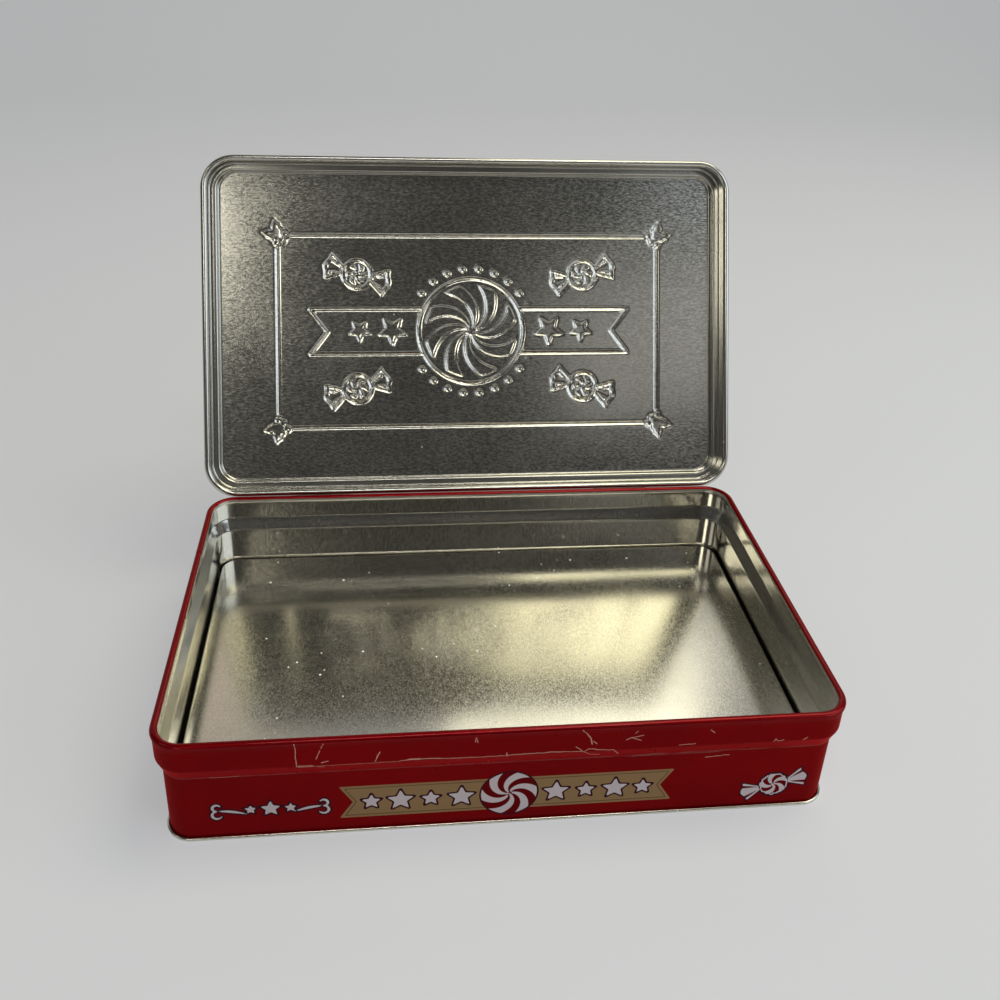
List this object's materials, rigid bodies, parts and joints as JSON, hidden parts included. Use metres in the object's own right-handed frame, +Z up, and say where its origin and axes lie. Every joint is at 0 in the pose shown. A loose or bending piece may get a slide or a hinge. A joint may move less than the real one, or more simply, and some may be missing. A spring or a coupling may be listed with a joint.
{
  "type": "hinged candy tin",
  "caption": "Shallow rounded rectangular tinplate tin with a rolled rim, a raised floor and a stepped lid on butt hinges, shown open.",
  "frame": {"origin": "on the surface the tin stands on, under the middle of the bounding box of the open tin; the body's own middle is 37.1 mm in front of it", "axes": "+X to the right along the long side and along the hinge axis, +Y to the hinged back, +Z up; the front faces -Y"},
  "size_m": [0.2468, 0.223, 0.1843],
  "materials": {
    "printed_tinplate": "glossy red print on tinplate",
    "bare_tinplate": "bare satin tinplate",
    "hinge_steel": "plated hinge steel"
  },
  "bodies": {
    "base": {"body_wall": "printed_tinplate", "bottom_panel": "bare_tinplate", "hinge_body_leaf_left": "hinge_steel", "hinge_body_leaf_right": "hinge_steel", "hinge_pin_left": "hinge_steel", "hinge_pin_right": "hinge_steel"},
    "lid": {"lid": "bare_tinplate", "hinge_lid_leaf_left": "hinge_steel", "hinge_lid_leaf_right": "hinge_steel"}
  },
  "joints": [
    {"name": "lid_hinge", "type": "hinge", "parent": "base", "child": "lid", "pos_m": [0, 0.04239, 0.03955], "axis": [1, 0, 0], "range_deg": [0, 113.5]}
  ]
}
